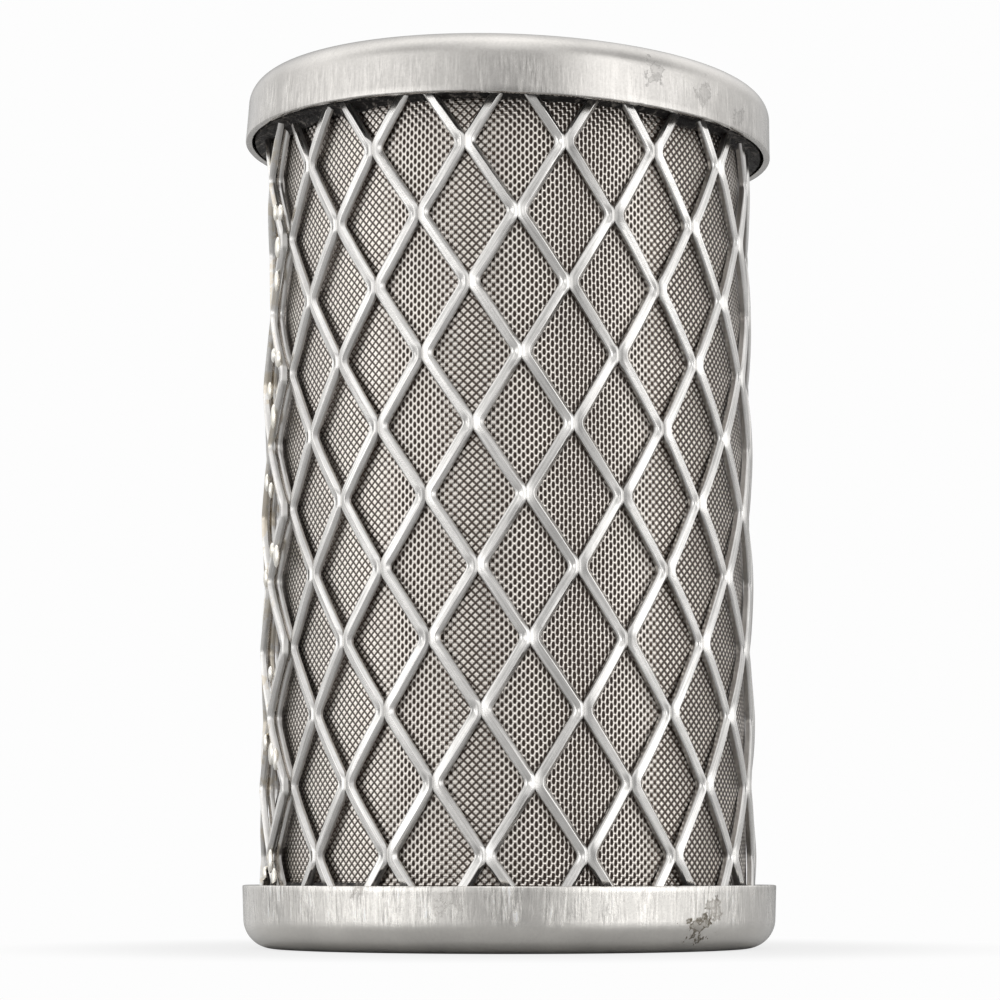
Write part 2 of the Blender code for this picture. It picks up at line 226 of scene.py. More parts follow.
def grow(item, tree, values):
    """Run a tree on an object and keep the result as its plain mesh."""
    modifier = item.modifiers.new(tree.name, "NODES")
    modifier.node_group = tree
    for socket in tree.interface.items_tree:
        if socket.in_out == "INPUT" and socket.name in values:
            modifier[socket.identifier] = values[socket.name]
    graph = bpy.context.evaluated_depsgraph_get()
    mesh = bpy.data.meshes.new_from_object(item.evaluated_get(graph))
    item.modifiers.clear()
    item.data = mesh


def new_object(name, points, faces, material):
    """An object from points and faces, linked to the scene."""
    mesh = bpy.data.meshes.new(name)
    mesh.from_pydata([tuple(point) for point in points], [], faces)
    if material:
        mesh.materials.append(material)
    item = bpy.data.objects.new(name, mesh)
    bpy.context.scene.collection.objects.link(item)
    return item


def mark(item, name, kind, field, numbers):
    """Give each point of an object a number or a vector under a name."""
    item.data.attributes.new(name, kind, "POINT").data.foreach_set(field, np.ravel(numbers))


def finish_mesh(item, sharp_degrees=40):
    """Point the faces outwards and shade them smooth between sharp edges."""
    bm = bmesh.new()
    bm.from_mesh(item.data)
    bmesh.ops.recalc_face_normals(bm, faces=bm.faces)
    bm.to_mesh(item.data)
    bm.free()
    item.data.shade_smooth()
    item.data.set_sharp_from_angle(angle=math.radians(sharp_degrees))
    return item


def hand_over(item, slot, *nodes):
    """Let a piece ride on the part in place of the nodes it stands for, which are hidden. The slot is not used.
    """
    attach(item, "root")
    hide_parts(*nodes)


def arc(centre, radius, start, end, steps):
    """Points of a round corner, from one angle in degrees to another."""
    turns = np.radians(np.linspace(start, end, steps + 1))
    return [(centre[0] + radius * math.cos(turn), centre[1] + radius * math.sin(turn)) for turn in turns]


def rows_between(first, last, steps):
    """Evenly spaced points after the first one, up to the last one."""
    return list(zip(*(np.linspace(start, end, steps + 1)[1:].tolist() for start, end in zip(first, last))))


def revolve(name, profile, segments, material, shift=None, place=None):
    """Turn a profile of (radius, height) points about Z. A radius of zero is a pole."""
    points = []
    rings = []
    for radius, height in profile:
        ring = []
        for step in range(segments if radius > 0 else 1):
            turn = 2 * math.pi * step / segments
            here = shift(turn, radius, height) if shift else (radius, height)
            ring.append(len(points))
            points.append(Vector((here[0] * math.sin(turn), -here[0] * math.cos(turn), here[1])))
        rings.append(ring)
    pairs = list(zip(rings, rings[1:]))
    if len(rings[0]) > 1:
        pairs.append((rings[-1], rings[0]))
    faces = []
    for lower, upper in pairs:
        for step in range(segments):
            after = (step + 1) % segments
            corners = [lower[step % len(lower)], lower[after % len(lower)]]
            corners += [upper[after % len(upper)], upper[step % len(upper)]]
            faces.append(tuple(dict.fromkeys(corners)))
    item = new_object(name, points, faces, material)
    mark(item, "cap_depth", "FLOAT", "value", [point.z for point in points])
    if place:
        item.data.transform(place)
    return finish_mesh(item)


SQUEEZE = 0.03 * MM  # how far the upper cap was pressed down on its resin


def upper_end(caps):
    """Where the upper cap's closed end lies, turned over and leaning."""
    rim = caps.rim_height - SQUEEZE
    top = Vector((caps.depth * math.sin(caps.lean), 0, rim + caps.depth * math.cos(caps.lean)))
    return Matrix.Translation(top) @ Euler((math.pi, caps.lean, 0)).to_matrix().to_4x4()


LAP_RAMP = 3  # half columns over which the sheet settles beside its lap


def column_shift(guard, column):
    """How far the sheet lies off its true radius at a half column, from the lap."""
    last = guard.first + 2 * guard.diamonds

    def ease(value):
        value = min(max(value, 0.0), 1.0)
        return value * value * (3 - 2 * value)

    column = (column - guard.first + guard.diamonds) % (last - guard.first) - guard.diamonds
    after = 1 - ease((column - guard.lap - 1) / LAP_RAMP)
    before = 1 - ease((-column - 1) / LAP_RAMP)
    return -guard.lap_sink * min(after, before)


DENT_ANGLE = math.radians(-92)
DENT_SPREAD = 7.5 * MM


def dent_shift(guard, turn, height):
    """How far the dent at the left presses the sleeve in."""
    up = (height - guard.dent_height) / DENT_SPREAD
    round_it = (math.remainder(turn - DENT_ANGLE, 2 * math.pi)) * guard.radius / DENT_SPREAD
    return -guard.dent * math.exp(-up * up - round_it * round_it)


# Materials

def new_material(name, **settings):
    """A Principled material with plain settings, its node tree, its shader and the object's coordinates."""
    material = bpy.data.materials.new(name)
    material.use_nodes = True
    shader = material.node_tree.nodes["Principled BSDF"]
    for key, value in settings.items():
        shader.inputs[key.replace("_", " ")].default_value = value
    return material, material.node_tree, shader, add(material.node_tree, "ShaderNodeTexCoord", out="Object")


STAINS = [
    # angle in degrees, height in mm, size in mm, strength, colour, share of the area
    (42.5, 2.6, 1.9, 0.95, "#6B6252", 0.52),
    (46.5, 4.2, 1.3, 0.60, "#7D7568", 0.50),
    (47.5, 5.6, 0.7, 0.70, "#6E675D", 0.55),
    (31.5, 87.0, 1.5, 0.45, "#7C7A78", 0.50),
    (45.0, 86.0, 1.5, 0.35, "#75726F", 0.50),
    (58.0, 84.6, 1.2, 0.40, "#7C7A78", 0.50),
    (-32.5, 6.0, 1.0, 0.50, "#8B8580", 0.50),
    (-12.0, 5.2, 1.5, 0.30, "#8B8580", 0.48),
]


def drawn_steel(caps, tint, wear):
    """Deep drawn steel sheet: satin, scored upright by the die, with stains that dried on it."""
    material, tree, shader, coords = new_material("drawn_steel_sheet", Metallic=1.0)
    # The die scores lines about 0.25 mm apart and 2 mm long, between the rim and the round corner.
    values = {}
    for name, grains, detail, roughness in (
        # Grains are counted in a metre along X, Y and Z.
        ("score", (3800, 3800, 420), 4.0, 0.6), ("band", (700, 700, 90), 2.0, 0.5),
        ("cloudy", (170, 170, 170), 5.0, 0.6), ("grain", (3500, 3500, 3500), 2.0, 0.5),
        ("ragged", (900, 900, 900), 4.0, 0.65),
    ):
        spread = add(tree, "ShaderNodeMapping", {"Vector": coords, "Scale": grains})
        values[name] = add(tree, "ShaderNodeTexNoise", {
            "Vector": spread, "Scale": 1.0, "Detail": detail, "Roughness": roughness,
        })
    depth = add(tree, "ShaderNodeAttribute", out="Fac", attribute_name="cap_depth")
    values["scored"] = add(tree, "ShaderNodeMapRange", {
        "Value": depth, "From Min": 2.0 * MM, "From Max": 3.6 * MM,
    }, interpolation_type="SMOOTHSTEP")
    work_out(tree, values, f"""
        cloud = cloudy - 0.5
        patch = band - 0.5
        # The die bit deeper in some places than in others.
        bite = patch * {6.0 * wear} + {1.1 * wear}, + cloud * {4.0 * wear}, MAXIMUM 0.0
        mark = score - 0.5, * scored, * bite
        patch = patch * scored
        fine = grain - 0.5
        bright = mark * 0.75 + 1.0, + patch * 0.35, + cloud * 0.42, + fine * 0.2
        rough = mark * 0.4 + 0.19, + cloud * 0.2
        height = mark * 3.0 + fine
    """)
    tone = add(tree, "ShaderNodeVectorMath", {0: (*tint,), "Scale": values["bright"]}, operation="SCALE")
    for degrees, height, size, strength, hex_colour, share in STAINS:
        turn = math.radians(degrees)
        place = (caps.radius * math.sin(turn), -caps.radius * math.cos(turn), height * MM)
        values["away"] = add(tree, "ShaderNodeVectorMath", {
            0: coords, 1: place,
        }, out="Value", operation="DISTANCE")
        # A dried drop is darkest along its edge.
        work_out(tree, values, f"""
            near = away / {size * MM}, * -0.22 + ragged, - {share - 0.16}, * 11.0, MINIMUM 1.0, MAXIMUM 0.0
            middle = 1.0 - near
            edge = near * middle, * {3.0 * strength}
            near = near * {0.45 * strength} + edge
            rough = rough + near * 0.35
        """)
        tone = add(tree, "ShaderNodeMix", {
            0: values["near"], MIX_A: tone, MIX_B: (*linear(hex_colour), 1.0),
        }, out=MIX_OUT, data_type="RGBA")
    bump = add(tree, "ShaderNodeBump", {"Height": values["height"], "Distance": 0.006 * MM})
    feed(tree, shader, {"Base Color": tone, "Roughness": values["rough"], "Normal": bump})
    return material


def guard_steel(guard):
    """Bright rolled steel: smooth, pinched where the slits end, and browned by heat at the seam."""
    material, tree, shader, coords = new_material("bright_rolled_steel", Metallic=1.0)
    cloudy = add(tree, "ShaderNodeTexNoise", {
        "Vector": coords, "Scale": 420.0, "Detail": 5.0, "Roughness": 0.6,
    })
    grain = add(tree, "ShaderNodeTexNoise", {"Vector": coords, "Scale": 2400.0, "Detail": 3.0})
    place = add(tree, "ShaderNodeSeparateXYZ", {0: coords}, out=None)
    seam = add(tree, "ShaderNodeMapRange", {
        "Value": place[0], "From Min": -23.6 * MM, "From Max": -24.6 * MM,
    }, interpolation_type="SMOOTHSTEP")
    # The place on a strand: across it in widths, along it in rows, and its number.
    on_strand = add(tree, "ShaderNodeAttribute", out="Vector", attribute_name="strand_place")
    spot = add(tree, "ShaderNodeSeparateXYZ", {0: on_strand}, out=None)
    # Rolling left streaks along each strand.
    along = add(tree, "ShaderNodeVectorMath", {0: on_strand, 1: (5.0, 1.3, 4.7)}, operation="MULTIPLY")
    streak = add(tree, "ShaderNodeTexNoise", {"Vector": along, "Scale": 1.0, "Detail": 3.0, "Roughness": 0.6})
    values = dict(cloudy=cloudy, grain=grain, seam=seam, part=spot[0], rows=spot[1], streak=streak)
    # The sheared edges are duller than the face, and are also painted darker as shade along the slits.
    work_out(tree, values, f"""
        cloud = cloudy - 0.5
        fine = grain - 0.5
        bright = cloud * 0.3 + 1.0, + fine * 0.1
        streak = streak - 0.5
        bright = streak * 0.9 + bright
        # The sheared edges are duller than the face.
        sheared = part ABSOLUTE, - 0.36, * 9.0, MAXIMUM 0.0, MINIMUM 1.0
        bright = sheared * -0.22 + bright
        rough = cloud * 0.25 + 0.19, + sheared * 0.15
        height = cloud * 6.0 + fine, * 0.006
        # A dimple 0.16 mm deep and 1 mm long lies in each knuckle, left of where two strands are joined.
        wave = rows PINGPONG 1.0
        from_joint = 1.0 - wave, * {guard.row_step / MM / 0.55}
        from_middle = part + 0.12, * 4.2
        dimple = from_joint * from_joint, + from_middle * from_middle, * -1.0, EXPONENT
        height = dimple * -0.16 + height
        heat = cloudy - 0.5, * 7.0, MAXIMUM 0.0, MINIMUM 0.35, * seam
    """)
    tone = add(tree, "ShaderNodeVectorMath", {0: (*guard.tint,), "Scale": values["bright"]}, operation="SCALE")
    tone = add(tree, "ShaderNodeMix", {
        0: values["heat"], MIX_A: tone, MIX_B: (*linear("#BBA67A"), 1.0),
    }, out=MIX_OUT, data_type="RGBA")
    bump = add(tree, "ShaderNodeBump", {"Height": values["height"], "Distance": MM})
    feed(tree, shader, {"Base Color": tone, "Roughness": values["rough"], "Normal": bump})
    return material


# Wires of 0.19 mm stand 0.41 mm apart. These are shares of that pitch.
CRIMP = 0.20
HALF_WIRE = 0.23


def woven_wire(cloth, guard):
    """Plain square weave of drawn steel wire: round bright wires that pass over and under in turn, with much of
    their light and shade painted on.
    """
    material, tree, shader, coords = new_material("woven_steel_wire")
    drift = add(tree, "ShaderNodeTexNoise", {"Vector": coords, "Scale": 120.0, "Detail": 1.0}, out="Color")
    sway = add(tree, "ShaderNodeSeparateXYZ", {0: drift}, out=None)
    cloudy = add(tree, "ShaderNodeTexNoise", {"Vector": coords, "Scale": 330.0, "Detail": 3.0})
    place = add(tree, "ShaderNodeSeparateXYZ", {0: coords}, out=None)
    values = {"x": place[0], "y": place[1], "z": place[2], "sway": sway[0], "rise": sway[1], "cloudy": cloudy}
    work_out(tree, values, f"""
        back = y * -1.0
        turn = x ARCTAN2 back
        cos = turn COSINE
        sin = turn SINE
        minus_cos = cos * -1.0
        u = turn * {cloth.wires / 2 / math.pi}
        v = z / {cloth.pitch}
        sway = sway - 0.5
        rise = rise - 0.5
        u = sway * 0.8 + u
        v = rise * 0.8 + v
    """)
    for wire, along, way in (("u", "v", 1.0), ("v", "u", -1.0)):
        work_out(tree, values, f"""
            nearest = {wire} ROUND
            off = {wire} - nearest
            parity = nearest * {math.pi}, COSINE
            phase = {along} * {math.pi}
            crimp = phase COSINE, * parity, * {CRIMP * way}
            swing = phase SINE, * parity
            slope_along_{wire} = swing * {-CRIMP * math.pi * way}
            arch = off * off
            arch = {HALF_WIRE ** 2} - arch
            there_{wire} = arch > 0.0
            arch = arch MAXIMUM {(0.15 * HALF_WIRE) ** 2}, SQRT
            slope_across_{wire} = off / arch, * -1.0
            top = arch + crimp, + 1.0
            top_{wire} = top * there_{wire}
        """)
    # Painted light and shade: the upright wires and the crowns of the level ones are painted lit, and the
    # openings with the unlit wire between them are painted as dark ovals.
    # Painted shade lies along the strands of the guard, which run through even sums of row and column.
    # Painted shade: in a band right of the front the dark ovals are painted taller.
    # Towards the sides, and in a band left of the front, painted highlights on the crowns show as diamonds.
    work_out(tree, values, f"""
        over = top_u > top_v
        under = 1.0 - over
        top = top_u MAXIMUM top_v
        wire = top > 0.1
        slope_u = slope_across_u * over, + slope_along_v * under
        slope_v = slope_along_u * over, + slope_across_v * under
        slope_u = slope_u * wire
        slope_v = slope_v * wire
        # Seen from the front, the upright wires and the crowns of the level ones leave oval openings.
        across = u - 0.5
        gap = across ROUND
        across = across - gap
        along = v + gap, PINGPONG 1.0
        brushed = turn - {math.radians(17)}, / {math.radians(9)}, * brushed, * -1.0, EXPONENT
        tall = brushed * 0.28 + 0.75
        across = across / 0.42, * across
        along = along / tall
        oval = along * along + across, SQRT
        lit = oval - 0.84, * 3.0, MAXIMUM 0.0, MINIMUM 1.0
        # Towards the sides, and in a band left of the front, the light catches the crowns as diamonds.
        lean_right = u + 0.5
        lean_left = lean_right - v
        lean_right = lean_right + v, PINGPONG 1.0
        lean_left = lean_left PINGPONG 1.0
        dots = lean_right MAXIMUM lean_left, + sin * 0.09
        dots = 0.77 - dots, * 3.2, MAXIMUM 0.05, MINIMUM 1.0
        band = turn + {math.radians(8.5)}, / {math.radians(6.0)}, POWER 2.0, * -1.0, EXPONENT
        far = turn - {math.radians(3.0)}, ABSOLUTE, - {math.radians(28.0)}, / {math.radians(7.0)}
        band = band MAXIMUM far, MINIMUM 1.0
        dots = dots - lit
        lit = dots * band + lit
        metal = lit > 0.02
        # Dirt lies along the strands of the guard, which run through even sums of row and column.
        rows = {guard.top_row} - z
        column = rows * {-math.tan(guard.lean) / guard.radius} + turn, - {guard.front}
        column = column * {guard.diamonds / math.pi}
        rows = rows / {guard.row_step}
        down_right = column - rows, PINGPONG 1.0
        down_left = column + rows, PINGPONG 1.0
        clean = down_right SMOOTH_MIN down_left 0.06, - 0.14, / 0.04, + cloudy * 0.6, MAXIMUM 0.35, MINIMUM 1.0
        lit = lit * clean, * metal
        shade = cloudy * 0.5 + 0.75
        lit = lit * shade
        rough = metal * -0.5 + 0.8
        minus_u = slope_u * -0.4
        nx = minus_u * cos + sin
        ny = minus_u * sin + minus_cos
        nz = slope_v * -0.4
    """)
    normal = add(tree, "ShaderNodeCombineXYZ", {0: values["nx"], 1: values["ny"], 2: values["nz"]})
    normal = add(tree, "ShaderNodeVectorMath", {0: normal}, operation="NORMALIZE")
    # Openings and unlit wire get the painted shade colour, lit wire the wire's own colour.
    tone = add(tree, "ShaderNodeMix", {
        0: values["lit"], MIX_A: (*cloth.gap_tint, 1.0), MIX_B: (*cloth.tint, 1.0),
    }, out=MIX_OUT, data_type="RGBA")
    feed(tree, shader, {
        "Base Color": tone, "Metallic": values["metal"], "Roughness": values["rough"], "Normal": normal,
    })
    return material


def plain_steel(inner):
    """Perforated steel sheet: dull, rolled, never seen from the front."""
    material, tree, shader, coords = new_material("rolled_steel_sheet", Metallic=1.0)
    cloudy = add(tree, "ShaderNodeTexNoise", {"Vector": coords, "Scale": 300.0, "Detail": 4.0})
    values = work_out(tree, {"cloudy": cloudy}, """
        bright = cloudy * 0.4 + 0.8
        rough = cloudy * 0.3 + 0.3
    """)
    tone = add(tree, "ShaderNodeVectorMath", {
        0: (*inner.core_tint,), "Scale": values["bright"],
    }, operation="SCALE")
    feed(tree, shader, {"Base Color": tone, "Roughness": values["rough"]})
    return material


def cast_resin(inner):
    """Cast resin with a hard filler: nearly black, dull, with grit of about 0.2 mm that glints a little."""
    material, tree, shader, coords = new_material("cast_resin", Metallic=0.0)
    grit = add(tree, "ShaderNodeTexVoronoi", {"Vector": coords, "Scale": 4200.0}, out="Distance")
    lumps = add(tree, "ShaderNodeTexNoise", {
        "Vector": coords, "Scale": 1300.0, "Detail": 5.0, "Roughness": 0.7,
    })
    values = work_out(tree, {"grit": grit, "lumps": lumps}, """
        rise = 1.0 - grit, * 0.5, + lumps
        pale = lumps - 0.53, * 7.0, MAXIMUM 0.0, MINIMUM 0.85
        rough = grit * 0.4 + 0.38
    """)
    tone = add(tree, "ShaderNodeMix", {
        0: values["pale"], MIX_A: (*inner.resin_tint, 1.0), MIX_B: (*linear("#98918A"), 1.0),
    }, out=MIX_OUT, data_type="RGBA")
    bump = add(tree, "ShaderNodeBump", {"Height": values["rise"], "Distance": 0.09 * MM})
    feed(tree, shader, {"Base Color": tone, "Roughness": values["rough"], "Normal": bump})
    return material


def moulded_rubber(inner):
    """Moulded nitrile rubber: black, matt, with a bloom that dulls it in places."""
    material, tree, shader, coords = new_material("moulded_rubber", Metallic=0.0)
    bloom = add(tree, "ShaderNodeTexNoise", {"Vector": coords, "Scale": 500.0, "Detail": 4.0})
    rough = work_out(tree, {"bloom": bloom}, "rough = bloom * 0.35 + 0.45")["rough"]
    tone = add(tree, "ShaderNodeMix", {
        0: bloom, MIX_A: (*inner.seal_tint, 1.0), MIX_B: (*linear("#2C2B2B"), 1.0),
    }, out=MIX_OUT, data_type="RGBA")
    feed(tree, shader, {"Base Color": tone, "Roughness": rough})
    return material


def weld_metal():
    """Weld nuggets: molten steel that froze smooth and bright, with straw tints round it."""
    material, tree, shader, coords = new_material("weld_nugget", Metallic=1.0, Roughness=0.1)
    cloudy = add(tree, "ShaderNodeTexNoise", {"Vector": coords, "Scale": 700.0, "Detail": 2.0})
    tone = add(tree, "ShaderNodeMix", {
        0: cloudy, MIX_A: (*linear("#FFFFFF"), 1.0), MIX_B: (*linear("#F4ECD8"), 1.0),
    }, out=MIX_OUT, data_type="RGBA")
    feed(tree, shader, {"Base Color": tone})
    return material


# Pieces

CAP_SEGMENTS = 320
CAP_FLAT = 16 * MM
WORN_EDGE = 0.14 * MM
LOWER_WEAR, UPPER_WEAR = 1.7, 1.0  # how deep the die bit
RIM_NICKS = [
    # angle in degrees, depth in mm
    (-23, 0.10), (-13, 0.06), (4, 0.05), (11, 0.07), (19, 0.05), (33, 0.08), (36, 0.06), (41, 0.05),
    (150, 0.08), (231, 0.07),
]


def cap_shift(caps, rim_radius, seed):
    """Wander of a drawn cap's wall and rim, as (turn, radius, height) to (radius, height)."""
    def shift(turn, radius, height):
        spot = Vector((math.sin(turn), math.cos(turn), height / caps.depth * 0.6 + seed))
        share = min(height / caps.depth, 1.0)
        out = 0.035 * MM * noise.noise(spot * 2.2) * share
        up = 0.0
        if height > 0.8 * caps.depth and radius > rim_radius - 2 * caps.wall:
            rim = (height / caps.depth - 0.8) / 0.2
            up = 0.03 * MM * noise.noise(spot * 9.0) * rim
            for place, nick in RIM_NICKS:
                near = math.remainder(turn - math.radians(place + 40 * seed), 2 * math.pi)
                up -= nick * MM * rim * math.exp(-(near / 0.006) ** 2)
        return radius + out - 0.02 * MM * share, height + min(up, 0.0)
    return shift


def cap_outline(caps, radius, bend, inset, top, steps):
    """Round corner and drafted wall, offset inwards, up to a height."""
    reach = radius - (caps.depth - bend) * math.tan(caps.draft)
    end = (radius - (caps.depth - top) * math.tan(caps.draft) - inset, top)
    line = arc((reach - bend, bend), bend - inset, -90, 0, steps)
    return line + rows_between(line[-1], end, 6)


def cap_profile(caps, radius, bend):
    """Both sides of a cap's corner and wall, up the outside, over the sheared rim and down the inside."""
    top = caps.depth - WORN_EDGE
    outside = cap_outline(caps, radius, bend, 0, top, 14)[:-1]
    inside = cap_outline(caps, radius, bend, caps.wall, top, 8)[:-1][::-1]
    rim = arc((radius - WORN_EDGE, top), WORN_EDGE, 0, 90, 3)
    rim += arc((radius - caps.wall + WORN_EDGE, top), WORN_EDGE, 90, 180, 3)
    return outside + rim + inside


class FILTER_OT_caps(bpy.types.Operator):
    """Make both drawn caps"""
    bl_idname = "filter_element.make_caps"
    bl_label = "Caps"

    def execute(self, context):
        caps = context.scene.filter_caps
        radius = caps.radius - caps.lower_trim
        disc = [(0.0, 0.0), (CAP_FLAT / 2, 0.0), (CAP_FLAT, 0.0)]
        floor = [(CAP_FLAT, caps.wall), (0.0, caps.wall)]
        profile = disc + cap_profile(caps, radius, caps.corner) + floor
        # The lower cap gets the brighter copy of the steel, as painted light.
        steel = drawn_steel(caps, caps.lower_tint, LOWER_WEAR)
        aside = Matrix.Translation((0.6 * caps.lower_trim, 0, 0))
        closed = revolve("lower_cap", profile, CAP_SEGMENTS, steel, cap_shift(caps, radius, 0.0), aside)
        hand_over(closed, "cap_steel", "bottom_end_cap")

        mouth = (caps.outlet + caps.bend, caps.bend)
        face = arc(mouth, caps.bend, 180, 270, 8) + [(CAP_FLAT + 2 * MM, 0.0)]
        under = [(CAP_FLAT + 2 * MM, caps.wall)] + arc(mouth, caps.bend - caps.wall, 270, 180, 5)
        near, far = caps.outlet, caps.outlet + caps.wall
        lip = [(far, caps.collar - WORN_EDGE), (far - WORN_EDGE, caps.collar)]
        lip += [(near + WORN_EDGE, caps.collar), (near, caps.collar - WORN_EDGE)]
        profile = face + cap_profile(caps, caps.radius, caps.upper_corner) + under + lip
        steel = drawn_steel(caps, caps.tint, UPPER_WEAR)
        wander = cap_shift(caps, caps.radius, 3.7)
        opened = revolve("upper_cap", profile, CAP_SEGMENTS, steel, wander, upper_end(caps))
        hand_over(opened, "cap_steel", "top_end_cap")
        return {"FINISHED"}


BEND_STEPS = (0.0, 0.2, 0.4, 0.6, 0.8, 1.05, 1.5, 2.3)  # ring heights beside a joint, in mm
BEND_ROUNDING = 0.06
STRAND_SECTION = [
    # across and out in half widths and half thicknesses, and the same where two strands are joined
    (1.00, -0.30, 1.00, 0.42), (0.92, -0.02, 0.96, 0.46), (0.54, 0.92, 0.56, 0.90),
    (0.44, 1.00, 0.44, 1.00), (-0.25, 1.00, -0.25, 0.88), (-0.66, 0.98, -0.66, 0.68),
    (-0.92, 0.70, -0.92, 0.48), (-1.00, 0.42, -1.00, 0.42), (-1.00, -1.00, -1.00, -1.00),
    (1.00, -1.00, 1.00, -1.00),
]


def strand_blank(guard):
    """One strand before it is bent: an upright bar whose rings lie close together at each joint."""
    half = guard.strand / 2
    thick = guard.sheet / 2
    levels = {SLEEVE_LOW.z, SLEEVE_HIGH.z}
    for row in range(-1, 12):
        centre = guard.top_row - row * guard.row_step
        for step in (*BEND_STEPS, guard.row_step / 2 / MM):
            for level in (centre + step * MM, centre - step * MM):
                if SLEEVE_LOW.z + 0.1 * MM < level < SLEEVE_HIGH.z - 0.1 * MM:
                    levels.add(round(level, 7))
    levels = sorted(levels)
    count = len(STRAND_SECTION)
    section = [(across * half, out * thick) for across, out, *joined in STRAND_SECTION]
    points = [(*corner, level) for level in levels for corner in section]
    faces = [tuple(range(count))[::-1], tuple(range(len(points) - count, len(points)))]
    for ring in range(len(levels) - 1):
        for step in range(count):
            after = (step + 1) % count
            low, high = ring * count, (ring + 1) * count
            faces.append((low + step, low + after, high + after, high + step))
    item = new_object("guard", points, faces, None)
    joined = [(across * half, out * thick, 0.0) for *free, across, out in STRAND_SECTION]
    mark(item, "joined", "FLOAT_VECTOR", "vector", joined * len(levels))
    return item


